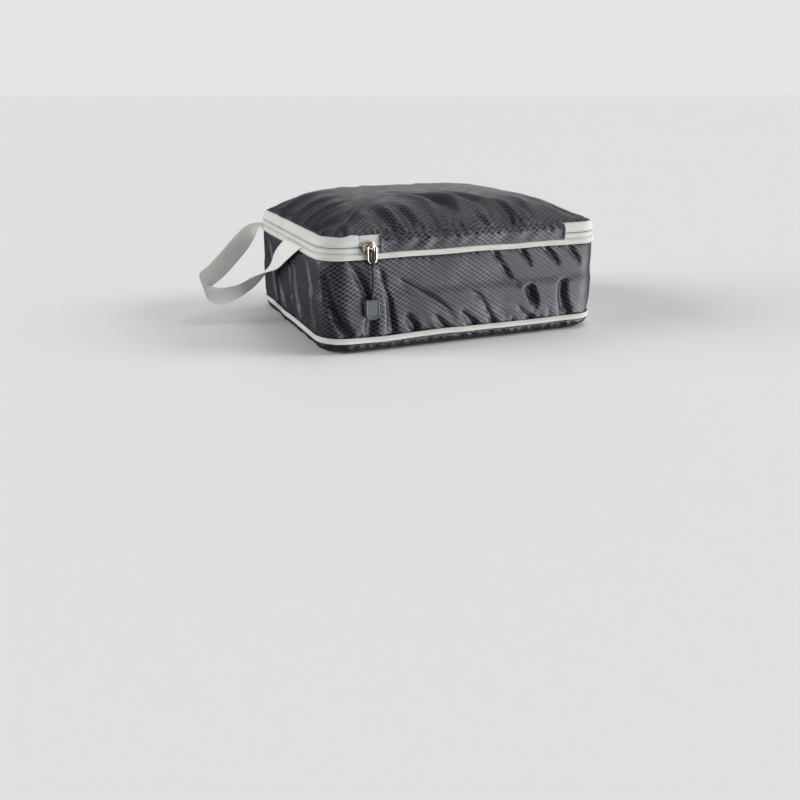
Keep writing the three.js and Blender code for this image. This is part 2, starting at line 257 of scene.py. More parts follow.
def tape_material(name, color, pitch_mm, rough=0.82):
    """Woven polyester: fine cords along the tape, crossed by a finer weft."""
    material, tree, shader = new_material(name)
    u, v = cloth_axes(tree)
    weave = maths(tree, "MULTIPLY_ADD", ridges(tree, u, 0.55 * MM), 0.45, ridges(tree, v, pitch_mm * MM))
    stain = noise(tree, 22, 4)
    base = mix_color(tree, remap(tree, stain, 0.3, 0.75), tinted(color, 0.9), tinted(color))
    dress(tree, shader, {
        "Base Color": mix_color(tree, remap(tree, weave, 0.0, 1.2), tinted(color, 0.72), base),
        "Roughness": remap(tree, stain, 0.2, 0.8, rough - 0.06, rough + 0.06),
        "Sheen Weight": 0.25,
        "Sheen Roughness": 0.5,
    })
    first = bump(tree, shader, weave, 0.12 * MM, 0.8)
    bump(tree, shader, noise(tree, 240, 2), 0.10 * MM, 0.5, under=first)
    return material


def thread_material(name, color):
    material, tree, shader = new_material(name)
    tone = noise(tree, 700, 2)
    dress(tree, shader, {
        "Base Color": mix_color(tree, tone, tinted(color, 0.75), tinted(color, 1.1)),
        "Roughness": remap(tree, tone, 0.2, 0.8, 0.5, 0.7),
        "Sheen Weight": 0.2,
    })
    bump(tree, shader, noise(tree, 1600, 1), 0.05 * MM, 0.6)
    return material


def nylon_material():
    """The zip coils: smooth drawn nylon."""
    material, tree, shader = new_material("coil_nylon")
    tone = noise(tree, 300, 2)
    dress(tree, shader, {
        "Base Color": mix_color(tree, tone, (0.36, 0.37, 0.35, 1), (0.50, 0.51, 0.48, 1)),
        "Roughness": remap(tree, tone, 0.2, 0.8, 0.28, 0.42),
    })
    bump(tree, shader, noise(tree, 900, 1), 0.03 * MM, 0.4)
    return material


def metal_material():
    """Champagne-bronze plating, brighter where handling has polished it."""
    material, tree, shader = new_material("bronze_plate")
    tone = noise(tree, 160, 4)
    polish = tree.nodes.new("ShaderNodeNewGeometry").outputs["Pointiness"]
    base = mix_color(tree, tone, (0.30, 0.235, 0.18, 1), (0.46, 0.385, 0.31, 1))
    dress(tree, shader, {
        "Metallic": 1.0,
        "Base Color": mix_color(tree, remap(tree, polish, 0.50, 0.60), base, (0.78, 0.72, 0.64, 1)),
        "Roughness": remap(tree, noise(tree, 500, 3), 0.3, 0.7, 0.16, 0.30),
    })
    bump(tree, shader, noise(tree, 420, 3), 0.05 * MM, 0.35)
    return material


def cord_material():
    """Round braided cord: two sets of crossing strands."""
    material, tree, shader = new_material("black_braid")
    u, v = cloth_axes(tree)
    strands = [ridges(tree, maths(tree, "MULTIPLY_ADD", v, sign, u), 1.1 * MM) for sign in (1, -1)]
    braid = maths(tree, "MAXIMUM", *strands)
    dress(tree, shader, {
        "Base Color": mix_color(tree, braid, (0.006, 0.006, 0.007, 1), (0.022, 0.022, 0.025, 1)),
        "Roughness": remap(tree, braid, 0, 1, 0.75, 0.55),
    })
    bump(tree, shader, braid, 0.15 * MM, 0.9)
    return material


def rubber_material():
    """Moulded slate rubber with a fine satin grain."""
    material, tree, shader = new_material("slate_rubber")
    tone = noise(tree, 60, 3)
    dress(tree, shader, {
        "Base Color": mix_color(tree, tone, (0.040, 0.047, 0.057, 1), (0.058, 0.067, 0.080, 1)),
        "Roughness": remap(tree, noise(tree, 300, 2), 0.2, 0.8, 0.42, 0.58),
    })
    bump(tree, shader, noise(tree, 1500, 2), 0.04 * MM, 0.4)
    return material


RIPSTOP = ripstop_material()
TAPE = tape_material("zip_tape_weave", (0.63, 0.64, 0.60), 0.9)
BINDING = tape_material("binding_weave", (0.020, 0.020, 0.022), 0.7, 0.88)
WEBBING = tape_material("webbing_weave", (0.78, 0.78, 0.75), 0.62, 0.85)
PALE_THREAD = thread_material("pale_thread", (0.42, 0.43, 0.41))
BLACK_THREAD = thread_material("black_thread", (0.003, 0.003, 0.004))
NYLON = nylon_material()
METAL = metal_material()
BRAID = cord_material()
RUBBER = rubber_material()


# ---- outline of the cube
def outline(s):
    """Points and outward normals at distance s along the nominal outline.

    It starts at the middle of the front and runs left, round the back and home on the right.
    """
    s = np.mod(np.asarray(s, float), PERIMETER)
    x, y, nx, ny = (np.zeros_like(s) for _ in range(4))
    straights = [(0, (0, -HALF_Y), (-1, 0)), (2, (-HALF_X, -STRAIGHT_Y), (0, 1)),
                 (4, (-STRAIGHT_X, HALF_Y), (1, 0)), (6, (HALF_X, STRAIGHT_Y), (0, -1)),
                 (8, (STRAIGHT_X, -HALF_Y), (-1, 0))]
    for run, origin, along in straights:
        here = (s >= STARTS[run]) & (s <= STARTS[run + 1])
        step = s[here] - STARTS[run]
        x[here] = origin[0] + along[0] * step
        y[here] = origin[1] + along[1] * step
        nx[here], ny[here] = -along[1], along[0]
    corners = [(1, -1, -1, -90), (3, -1, 1, 180), (5, 1, 1, 90), (7, 1, -1, 0)]
    for run, sign_x, sign_y, start in corners:
        here = (s > STARTS[run]) & (s < STARTS[run + 1])
        angle = np.radians(start) - (s[here] - STARTS[run]) / CORNER
        nx[here], ny[here] = np.cos(angle), np.sin(angle)
        x[here] = sign_x * STRAIGHT_X + CORNER * np.cos(angle)
        y[here] = sign_y * STRAIGHT_Y + CORNER * np.sin(angle)
    return x, y, nx, ny


def front_s(x):
    return -x


def left_s(y):
    return STARTS[2] + STRAIGHT_Y + y


def place(s, offset, z):
    """Points at an outward offset and height over the outline; the inputs broadcast together."""
    s, offset, z = np.broadcast_arrays(np.asarray(s, float), np.asarray(offset, float), np.asarray(z, float))
    x, y, nx, ny = outline(s)
    return np.stack([x + nx * offset, y + ny * offset, z], -1)


def ripple(s, seed, low, high, count=9):
    """Smooth random wave round the outline, about -1 to 1, with low to high waves per turn."""
    rng = np.random.RandomState(seed)
    total = np.zeros_like(np.asarray(s, float))
    for _ in range(count):
        turns = rng.randint(low, high + 1)
        size = rng.uniform(0.4, 1)
        total = total + size * np.cos(2 * math.pi * turns * s / PERIMETER + rng.uniform(0, 6.28))
    return total / math.sqrt(count)


def base_sway(s):
    """How the bottom zip band wanders up and down."""
    return 0.7 * ripple(s, 11, 5, 14)


def band_sway(s):
    return 0.35 * ripple(s, 23, 5, 16)


def lid_sway(s):
    """The lid seam's waves, with one hump of slack tape beside the slider."""
    hump = 1.5 * np.exp(-((s - front_s(-121)) / 5) ** 2) - 0.6 * np.exp(-((s - front_s(-133)) / 8) ** 2)
    return 0.4 * ripple(s, 31, 8, 30) + hump


def lean_at(s):
    """How far the lid seam leans in: more on the left side, where the lid is pulled over."""
    middle = left_s(0)
    away = np.abs(np.mod(s - middle + PERIMETER / 2, PERIMETER) - PERIMETER / 2)
    return LEAN + 1.6 * np.clip(1 - (away / (STRAIGHT_Y + 30)) ** 4, 0, 1)


# ---- mesh helpers
def finish_piece(piece, body, replaced=()):
    if replaced:
        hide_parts(*replaced)
    if body:
        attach(piece, body)
    return piece


def mesh_object(name, vertices, faces, uvs, material):
    """vertices in millimetres; uvs holds one (u, v) in millimetres for each face corner, in order."""
    mesh = bpy.data.meshes.new(name)
    mesh.from_pydata((np.asarray(vertices, float) * MM).tolist(), [], faces)
    layer = mesh.uv_layers.new(name="cloth")
    layer.data.foreach_set("uv", (np.asarray(uvs, float) * MM).ravel())
    mesh.polygons.foreach_set("use_smooth", [True] * len(mesh.polygons))
    mesh.materials.append(material)
    mesh.validate()
    mesh.update()
    piece = bpy.data.objects.new(name, mesh)
    bpy.context.scene.collection.objects.link(piece)
    return piece


def grid_faces(rows, columns, wrap_rows, wrap_columns):
    faces = []
    for i in range(rows if wrap_rows else rows - 1):
        for j in range(columns if wrap_columns else columns - 1):
            k, m = (i + 1) % rows, (j + 1) % columns
            faces.append((i * columns + j, k * columns + j, k * columns + m, i * columns + m))
    return faces


def end_caps(rows, columns):
    """The two faces that close a grid's first and last row."""
    last = (rows - 1) * columns
    return [tuple(range(columns)), tuple(last + j for j in reversed(range(columns)))]


def grid_object(name, points, u, v, material, wrap_rows=False, wrap_columns=False, caps=False, flip=False):
    """A grid of points, rows along the piece and columns across it. u and v hold one more value
    than the points where the grid wraps, so that the cloth coordinates never jump."""
    rows, columns = points.shape[:2]
    faces = grid_faces(rows, columns, wrap_rows, wrap_columns)
    corners = [((u[i], v[j]), (u[i + 1], v[j]), (u[i + 1], v[j + 1]), (u[i], v[j + 1]))
               for i in range(rows if wrap_rows else rows - 1)
               for j in range(columns if wrap_columns else columns - 1)]
    if caps:
        faces += end_caps(rows, columns)
        corners.append([(u[0], v[j]) for j in range(columns)])
        corners.append([(u[rows - 1], v[j]) for j in reversed(range(columns))])
    if flip:
        faces = [face[::-1] for face in faces]
        corners = [face[::-1] for face in corners]
    uvs = [corner for face in corners for corner in face]
    return mesh_object(name, points.reshape(-1, 3), faces, uvs, material)


def thicken(piece, offset=-1.0):
    modifier = piece.modifiers.new("cloth thickness", "SOLIDIFY")
    modifier.thickness = CLOTH_THICK * MM
    modifier.offset = offset
    modifier.use_even_offset = False


def distances(points):
    """How far along a path each of its points is."""
    return np.concatenate([[0], np.cumsum(np.linalg.norm(np.diff(points, axis=0), axis=1))])


def ribbon_section(line, thickness):
    """A closed outline of a given thickness round a line of (offset, height) points."""
    line = np.asarray(line, float)
    along = np.gradient(line, axis=0)
    along /= np.linalg.norm(along, axis=1)[:, None]
    normal = np.stack([along[:, 1], -along[:, 0]], -1)
    half = thickness / 2
    outer = line + normal * half
    inner = line - normal * half
    start = line[0] - along[0] * half * 0.7
    end = line[-1] + along[-1] * half * 0.7
    return np.concatenate([[start], outer, [end], inner[::-1]])


def sweep(name, s, line_at, thickness, material, closed):
    """Sweeps a strip along the outline. line_at(s) gives its middle line as (offset, height) points."""
    rows = []
    for value in s:
        section = ribbon_section(line_at(value), thickness)
        rows.append(place(value, section[:, 0], section[:, 1]))
    points = np.array(rows)
    v = distances(ribbon_section(line_at(s[0]), thickness))
    v = np.append(v, v[-1] + thickness)
    u = np.append(s, s[0] + PERIMETER) if closed else s
    return grid_object(name, points, u, v, material, closed, True, caps=not closed, flip=True)


def around(step=2.5):
    return np.linspace(0, PERIMETER, int(PERIMETER / step), endpoint=False)


def stretch(start, end, step=2.0):
    return np.linspace(start, end, max(2, int(abs(end - start) / step) + 1))


def tube(name, path, radius, material, sides, closed=False):
    """A round tube along a path of points in millimetres."""
    path = np.asarray(path, float)
    tangent = np.roll(path, -1, 0) - np.roll(path, 1, 0)
    if not closed:
        tangent[0], tangent[-1] = path[1] - path[0], path[-1] - path[-2]
    tangent /= np.linalg.norm(tangent, axis=1)[:, None]
    side = np.array([0.0, 1.0, 0.0]) if abs(tangent[0][1]) < 0.9 else np.array([1.0, 0.0, 0.0])
    angles = np.linspace(0, 2 * math.pi, sides, endpoint=False)
    rows = []
    for at, ahead in zip(path, tangent):
        side = side - ahead * np.dot(side, ahead)
        side /= np.linalg.norm(side)
        up = np.cross(ahead, side)
        rows.append(at + radius * (np.cos(angles)[:, None] * side + np.sin(angles)[:, None] * up))
    u = distances(path)
    if closed:
        u = np.append(u, u[-1] + np.linalg.norm(path[0] - path[-1]))
    v = np.linspace(0, 2 * math.pi * radius, sides + 1)
    return grid_object(name, np.array(rows), u, v, material, closed, True, caps=not closed, flip=True)


def smooth_curve(points, count):
    """A Catmull-Rom curve through the points, evenly divided in parameter."""
    points = np.asarray(points, float)
    last = len(points) - 1
    before = np.vstack([2 * points[0] - points[1], points, 2 * points[-1] - points[-2]])
    out = []
    for t in np.linspace(0, last, count):
        i = min(int(t), last - 1)
        w = t - i
        p0, p1, p2, p3 = before[i:i + 4]
        m1, m2 = (p2 - p0) / 2, (p3 - p1) / 2
        out.append((2 * w ** 3 - 3 * w ** 2 + 1) * p1 + (w ** 3 - 2 * w ** 2 + w) * m1
                   + (-2 * w ** 3 + 3 * w ** 2) * p2 + (w ** 3 - w ** 2) * m2)
    return np.array(out)


def stitches(name, s_values, line, material, length, radius=0.28):
    """A row of separate stitches. line(s) gives each point's (offset, height)."""
    vertices, faces, uvs = [], [], []
    shape = [(-0.5, 0.35, -0.5), (-0.3, 0.9, 0.1), (0.0, 1.0, 0.25), (0.3, 0.9, 0.1), (0.5, 0.35, -0.5)]
    sides = 6
    for value in s_values:
        start = len(vertices)
        for along, scale, lift in shape:
            at = value + along * length
            offset, height = line(at)
            x, y, nx, ny = (float(q) for q in outline(at))
            for k in range(sides):
                angle = 2 * math.pi * k / sides
                o = offset + radius * (lift + scale * math.cos(angle))
                vertices.append((x + nx * o, y + ny * o, height + radius * scale * math.sin(angle)))
        for i in range(len(shape) - 1):
            for k in range(sides):
                m = (k + 1) % sides
                a, b = start + i * sides, start + (i + 1) * sides
                faces.append((a + k, a + m, b + m, b + k))
                uvs.extend(((0, 0), (0, 1), (1, 1), (1, 0)))
        end = start + (len(shape) - 1) * sides
        faces.append(tuple(start + k for k in reversed(range(sides))))
        faces.append(tuple(end + k for k in range(sides)))
        uvs.extend([(0, 0)] * 2 * sides)
    return mesh_object(name, vertices, faces, uvs, material)


# ---- folds
def crease(a, b, points, width, depth):
    """A valley with raised shoulders along a line of points, tapering off at both ends.

    a and b are the cloth's two coordinates. Distances along a wrap round the outline.
    """
    points = np.asarray(points, float)
    marks = distances(points)
    marks /= marks[-1]
    nearest = np.full(a.shape, 1e9)
    share = np.zeros(a.shape)
    for i in range(len(points) - 1):
        p, q = points[i], points[i + 1]
        da = np.mod(a - p[0] + PERIMETER / 2, PERIMETER) - PERIMETER / 2
        db = b - p[1]
        run = q - p
        t = np.clip((da * run[0] + db * run[1]) / np.dot(run, run), 0, 1)
        distance = np.hypot(da - t * run[0], db - t * run[1])
        closer = distance < nearest
        nearest = np.where(closer, distance, nearest)
        share = np.where(closer, marks[i] + t * (marks[i + 1] - marks[i]), share)
    taper = np.clip(np.minimum(share, 1 - share) * 3.2 + 0.25, 0, 1)
    valley = -np.exp(-(nearest / width) ** 2)
    shoulder = 0.5 * np.exp(-((nearest - 1.9 * width) / (0.9 * width)) ** 2)
    return depth * taper * (valley + shoulder)


def soft_step(value, low, high):
    t = np.clip((value - low) / (high - low), 0, 1)
    return t * t * (3 - 2 * t)


# Folds come in families, each given as: count, place of the first, gap to the next, where each starts and
# ends, how far it drifts sideways, its width and its depth.
FRONT_FAMILIES = [
    (3, -90, 55, 75, 25, 75, 5.5, 3.4),
    (4, 20, 30, 90, 65, 20, 4.0, 3.4),
    (5, -70, 30, 35, 12, 18, 4.0, 2.8),
    (2, 75, 30, 60, 15, 8, 6.0, 4.2),
    (3, -140, 20, 85, 15, 20, 6.5, 4.2),
]
LEFT_FAMILIES = [(6, -100, 35, 88, 18, -25, 5.5, 3.6)]


def fold_family(seed, count, first, gap, start, end, drift, width, depth):
    """Folds side by side, each slightly bowed and none quite like its neighbour."""
    rng = np.random.RandomState(seed)
    folds = []
    for number in range(count):
        at = first + gap * number + rng.uniform(-0.2, 0.2) * gap
        run = drift * rng.uniform(0.75, 1.25)
        bow = rng.uniform(-0.12, 0.12) * (end - start)
        share = np.linspace(0, 1, 5)
        across = at + run * share + 4 * bow * share * (1 - share)
        down = start + (end - start) * share
        size = rng.uniform(0.8, 1.2)
        folds.append((list(zip(across, down)), width * size, depth * rng.uniform(0.8, 1.2)))
    return folds


def all_families(families, seed):
    return [fold for number, family in enumerate(families) for fold in fold_family(seed + number, *family)]


def other_folds():
    """Slanting folds for the back and right walls, which repeat the front's rhythm."""
    rng = np.random.RandomState(5)
    folds = []
    start = left_s(HALF_Y - 10)
    end = PERIMETER - STRAIGHT_X - 20
    at = start
    while at < end:
        drift = rng.uniform(14, 42) * rng.choice([-1, 1])
        low, high = rng.uniform(10, 26), rng.uniform(62, 92)
        points = [(at, high), (at + 0.45 * drift, (low + high) / 2 + rng.uniform(-6, 6)), (at + drift, low)]
        folds.append((points, rng.uniform(3.5, 7.0), rng.uniform(2.2, 4.6)))
        at += rng.uniform(22, 40)
    return folds


def wall_relief(s, z):
    """How far the gusset stands out from the outline."""
    height = (z - BASE_Z) / (GUSSET_TOP - BASE_Z)
    arch = np.sin(math.pi * np.clip(height, 0, 1))
    relief = 2.6 * arch ** 0.8
    fold_gain = 1.35
    for folds, to_s in ((all_families(FRONT_FAMILIES, 101), front_s),
                        (all_families(LEFT_FAMILIES, 121), left_s), (other_folds(), float)):
        for points, width, depth in folds:
            relief += crease(s, z, [(to_s(at), h) for at, h in points], width, fold_gain * depth)
    slant = s + 0.35 * (z - BASE_Z)
    patchy = 0.55 + 0.45 * ripple(s - 0.5 * (z - BASE_Z), 42, 2, 6)
    relief += 0.8 * patchy * ripple(slant, 41, 18, 44) * arch
    relief += 1.5 * ripple(s, 43, 60, 130, 14) * np.exp(-((z - BASE_Z) / 11) ** 2)
    relief += 1.1 * ripple(s, 47, 60, 130, 14) * np.exp(-((GUSSET_TOP - z) / 9) ** 2)
    edge = soft_step(height, 0, 0.09) * soft_step(1 - height, 0, 0.11)
    sewn_in = 1.6
    return -sewn_in + (relief + sewn_in) * edge


def wall():
    s = around(1.9)
    share = np.linspace(0, 1, 46)
    lows = BASE_Z + base_sway(s)
    highs = GUSSET_TOP + band_sway(s)
    z = lows[:, None] + (highs - lows)[:, None] * share[None, :]
    grid_s = np.repeat(s[:, None], len(share), 1)
    nominal = BASE_Z + (GUSSET_TOP - BASE_Z) * share[None, :] + 0 * grid_s
    points = place(grid_s, wall_relief(grid_s, nominal), z)
    u = np.append(s, PERIMETER)
    piece = grid_object("gusset_wall", points, u, nominal[0], RIPSTOP, wrap_rows=True, flip=True)
    near_cord = np.exp(-((grid_s - front_s(CORD_X - 5)) / 18) ** 2) * soft_step(z, 22, 34)
    stand_out, pressed = 2.3, 1.15
    limit = stand_out - pressed * np.maximum(soft_step(z, 50, 60), 0.6 * near_cord)
    x, y, nx, ny = outline(grid_s)
    settle(piece, len(share), frames=24, pressure=1.3, cap=4.0)
    hold_back(piece, np.stack([x, y], -1), np.stack([nx, ny], -1), limit)
    thicken(piece)
    piece.modifiers.new("smooth", "SUBSURF").render_levels = 1
    finish_piece(piece, "base", ["expansion_gusset"])
    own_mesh(piece)


def read_points(mesh):
    """The mesh's vertices as rows of x, y and z, in metres."""
    flat = np.empty(len(mesh.vertices) * 3)
    mesh.vertices.foreach_get("co", flat)
    return flat.reshape(-1, 3)


def write_points(mesh, points):
    mesh.vertices.foreach_set("co", points.ravel())
    mesh.update()


def hold_back(piece, feet, normals, limit):
    """Presses the wall back where it stands further out from its outline than the limit."""
    ease = 1.0
    points = read_points(piece.data).reshape(*feet.shape[:2], 3) / MM
    out = np.sum((points[..., :2] - feet) * normals, -1)
    over = np.maximum(out - (limit - ease), 0)
    change = ease * (1 - np.exp(-over / ease)) - over
    points[..., :2] += normals * change[..., None]
    write_points(piece.data, points * MM)


def settle(piece, columns, frames, pressure, cap):
    """Cloth simulation held along the sewn edges, its result capped and written to the mesh."""
    mesh = piece.data
    start = read_points(mesh)
    group = piece.vertex_groups.new(name="seams")
    held = [i for i in range(len(mesh.vertices)) if i % columns in (0, 1, columns - 2, columns - 1)]
    group.add(held, 1.0, "REPLACE")
    cloth = piece.modifiers.new("cloth", "CLOTH")
    rules = cloth.settings
    rules.vertex_group_mass = "seams"
    rules.quality = 5
    rules.mass = 0.15
    rules.tension_stiffness = 25
    rules.compression_stiffness = 25
    rules.shear_stiffness = 8
    rules.bending_stiffness = 0.6
    rules.shrink_min = -0.012
    rules.use_pressure = True
    rules.uniform_pressure_force = pressure
    rules.effector_weights.gravity = 0
    cloth.collision_settings.use_collision = False
    scene = bpy.context.scene
    for number in range(1, frames + 1):
        scene.frame_set(number)
    shaped = piece.evaluated_get(bpy.context.evaluated_depsgraph_get()).to_mesh()
    shift = read_points(shaped) - start
    piece.modifiers.remove(cloth)
    piece.vertex_groups.remove(group)
    size = np.linalg.norm(shift, axis=1)
    write_points(mesh, start + shift * np.minimum(1, cap * MM / np.maximum(size, 1e-9))[:, None])
    scene.frame_set(1)


# ---- panels on a rounded rectangle
def dense_ends(count, sharpness):
    """Numbers from -1 to 1, closer together near both ends."""
    t = np.linspace(-1, 1, count)
    return (1 - sharpness) * t + sharpness * np.sin(t * math.pi / 2)


def rounded_grid(columns, rows, offset, inner_share):
    """Grid over the outline grown by offset; returns u, v in -1..1, the larger of the two, and x, y."""
    u, v = np.meshgrid(dense_ends(columns, inner_share), dense_ends(rows, inner_share), indexing="ij")
    rho = np.maximum(np.maximum(np.abs(u), np.abs(v)), 1e-9)
    half_x, half_y = HALF_X + offset, HALF_Y + offset
    x, y = u / rho * half_x, v / rho * half_y
    over_x = np.abs(x) - STRAIGHT_X
    over_y = np.abs(y) - STRAIGHT_Y
    corner = (over_x > 0) & (over_y > 0)
    reach = np.hypot(over_x, over_y)
    pull = np.where(corner, (CORNER + offset) / np.maximum(reach, 1e-9), 1)
    x = np.where(corner, np.sign(x) * (STRAIGHT_X + over_x * pull), x)
    y = np.where(corner, np.sign(y) * (STRAIGHT_Y + over_y * pull), y)
    return u, v, rho, x * rho, y * rho


def nearest_s(x, y):
    """Distance along the outline of the points nearest to x, y."""
    s = np.linspace(0, PERIMETER, 1600, endpoint=False)
    ox, oy, _, _ = outline(s)
    flat = np.stack([x.ravel(), y.ravel()], -1)
    found = np.empty(len(flat))
    for i in range(0, len(flat), 4000):
        part = flat[i:i + 4000]
        gap = (part[:, 0:1] - ox) ** 2 + (part[:, 1:2] - oy) ** 2
        found[i:i + 4000] = s[np.argmin(gap, 1)]
    return found.reshape(x.shape)


# Folds of the lid, as families again: those that run front to back, then those that run in from the sides.
LID_LENGTHWISE = [
    (3, -50, 30, -25, -113, 35, 7.5, 2.8),
    (6, -95, 32, -82, -114, 10, 6.0, 2.6),
    (3, -60, 60, 114, 58, 0, 6.8, 1.7),
]
LID_CROSSWISE = [
    (5, -90, 40, -144, -102, 0, 6.0, 1.9),
    (3, -75, 80, 142, 92, 10, 7.0, 1.7),
]


def lid_folds():
    """Every fold of the lid: points are (distance right of the middle, distance behind the middle)."""
    crosswise = [([(b, a) for a, b in points], width, depth)
                 for points, width, depth in all_families(LID_CROSSWISE, 151)]
    return all_families(LID_LENGTHWISE, 141) + crosswise


def lid_panel():
    u, v, rho, x, y = rounded_grid(230, 190, -LEAN, 0.75)
    right = np.clip(x / HALF_X, 0, 1)
    power_u = 5.0 - 1.6 * right
    full = (1 - np.abs(u) ** power_u) * (1 - np.abs(v) ** 5.0)
    crown = TOP_Z - LID_Z
    s = nearest_s(x, y)
    rim = soft_step(rho, 0.72, 1.0)
    relief = np.zeros_like(x)
    for points, width, depth in lid_folds():
        relief += crease(x, y, points, width, depth)
    relief += 0.5 * ripple(s, 61, 16, 40) * soft_step(rho, 0.45, 0.8)
    pucker = soft_step(rho, 0.90, 0.985)
    relief += 0.75 * ripple(s, 67, 70, 150, 14) * pucker
    quiet = 1 - soft_step(rho, 0.975, 1.0)
    z = LID_Z + (crown - 0.8) * full + relief * quiet + lid_sway(s) * rim
    _, _, nx, ny = outline(s)
    shift = -(lean_at(s) - LEAN + 0.5) * rim + 0.5 * relief * pucker * quiet
    points = np.stack([x + nx * shift, y + ny * shift, z], -1)
    piece = free_grid("lid_cover", points, flip=False)
    thicken(piece)
    finish_piece(piece, "lid", ["lid_panel"])


def unrolled(points):
    """Cloth coordinates of a grid: distances measured along its own lines from the middle ones."""
    along = np.linalg.norm(np.diff(points, axis=0), axis=2)
    across = np.linalg.norm(np.diff(points, axis=1), axis=2)
    x = np.vstack([np.zeros((1, points.shape[1])), np.cumsum(along, 0)])
    y = np.hstack([np.zeros((points.shape[0], 1)), np.cumsum(across, 1)])
    x -= x[points.shape[0] // 2]
    y -= y[:, points.shape[1] // 2][:, None]
    return np.stack([x, y], -1)


def free_grid(name, points, flip):
    """A ripstop panel whose cloth coordinates follow its own surface."""
    rows, columns = points.shape[:2]
    cloth = unrolled(points)
    faces = grid_faces(rows, columns, False, False)
    if flip:
        faces = [tuple(reversed(face)) for face in faces]
    uvs = cloth.reshape(-1, 2)[np.array(faces).ravel()]
    return mesh_object(name, points.reshape(-1, 3), faces, uvs, RIPSTOP)


def bottom():
    u, v, _, x, y = rounded_grid(200, 170, 1.3, 0.9)
    s = nearest_s(x, y)
    inward = np.minimum((1 - np.abs(u)) * HALF_X, (1 - np.abs(v)) * HALF_Y)
    bend = 12.0
    turn = np.clip(1 - inward / bend, 0, 1)
    z = (BASE_Z - 0.3) * (1 - np.sqrt(np.clip(1 - turn ** 2, 0, 1)))
    pleat = ripple(s, 71, 50, 120, 14)
    gathered = soft_step(turn, 0.15, 0.7) * (1 - soft_step(turn, 0.93, 1.0))
    _, _, nx, ny = outline(s)
    shift = 1.3 * pleat * gathered + 0.8 * ripple(s, 73, 10, 30) * gathered
    z = z + base_sway(s) * soft_step(turn, 0.3, 1.0)
    points = np.stack([x + nx * shift, y + ny * shift, np.maximum(z, 0)], -1)
    piece = free_grid("bottom_cover", points, flip=True)
    thicken(piece)
    finish_piece(piece, "base", ["bottom_panel"])


# ---- zip tapes, coils and bindings
COMPRESSION_REACH = 5.2
FLAP_OUT = 1.35
TAPE_CLOTH = 0.75
TUCK = 1.2


def section(start, reach, shares, pushes, out=0.0):
    """A tape's (offset, height) points, at shares of its reach from the start, each pushed out."""
    return [(out + push, start + reach * share) for share, push in zip(shares, pushes)]


def lower_flap_line(s):
    """Section of the lower compression tape, standing up from the base seam."""
    return section(BASE_Z - 0.2 + base_sway(s), COMPRESSION_REACH, [0, 0.08, 0.3, 0.6, 0.85, 1.0],
                   [-0.6, 0.45, 1.0, 1.1, 0.85, 0.3], FLAP_OUT + 0.25 * ripple(s, 81, 12, 40))


def upper_flap_line(s):
    """Section of the upper compression tape, hanging from the band seam."""
    return section(BAND_Z - 0.15 + band_sway(s), -COMPRESSION_REACH, [1.0, 0.85, 0.6, 0.3, 0.08, 0.0],
                   [0.35, 1.0, 1.25, 1.0, 0.2, -1.3], FLAP_OUT + 0.25 * ripple(s, 83, 12, 40))


def access_lower_line(s):
    foot = BAND_Z - 0.25 + band_sway(s)
    return section(foot, ZIP_Z - 0.35 - foot, [0, 0.12, 0.45, 0.8, 0.95, 1.0],
                   [-0.5, 0.35, 0.7, 0.7, 0.4, -0.35])


def access_upper_line(s):
    """Section of the access zip's upper tape, leaning in with the lid's seam."""
    foot = ZIP_Z + 0.6
    lean = lean_at(s)
    push = [-0.35, 0.35, 0.6, 0.35, -0.3, -0.85, -1.0]
    return section(foot, LID_Z + 0.15 + lid_sway(s) - foot, [0, 0.04, 0.14, 0.4, 0.7, 0.92, 1.0],
                   [p if p > 0 else p * lean for p in push])


def coil(name, ends, offset, height, body, node):
    """One nylon coil: a helix that follows the outline."""
    per_turn, pitch = 8, 1.7
    count = int(abs(ends[1] - ends[0]) / pitch * per_turn)
    angle = np.arange(count) * 2 * math.pi / per_turn
    path = place(np.linspace(*ends, count), offset + 0.40 * np.cos(angle), height + 0.45 * np.sin(angle))
    finish_piece(tube(name, path, 0.22, NYLON, sides=5), body, [node])


def seam_row(name, ends, line, share_up, body, pitch, length):
    """Stitches along a tape, at a share of its width, lying on its outer face."""
    def at(value):
        points = np.asarray(line(value))
        position = share_up * (len(points) - 1)
        index = min(int(position), len(points) - 2)
        offset, height = points[index] + (points[index + 1] - points[index]) * (position - index)
        return offset + TAPE_CLOTH / 2, height
    values = np.arange(ends[0] + pitch, ends[1] - pitch, pitch)
    finish_piece(stitches(name, values, at, PALE_THREAD, length), body)


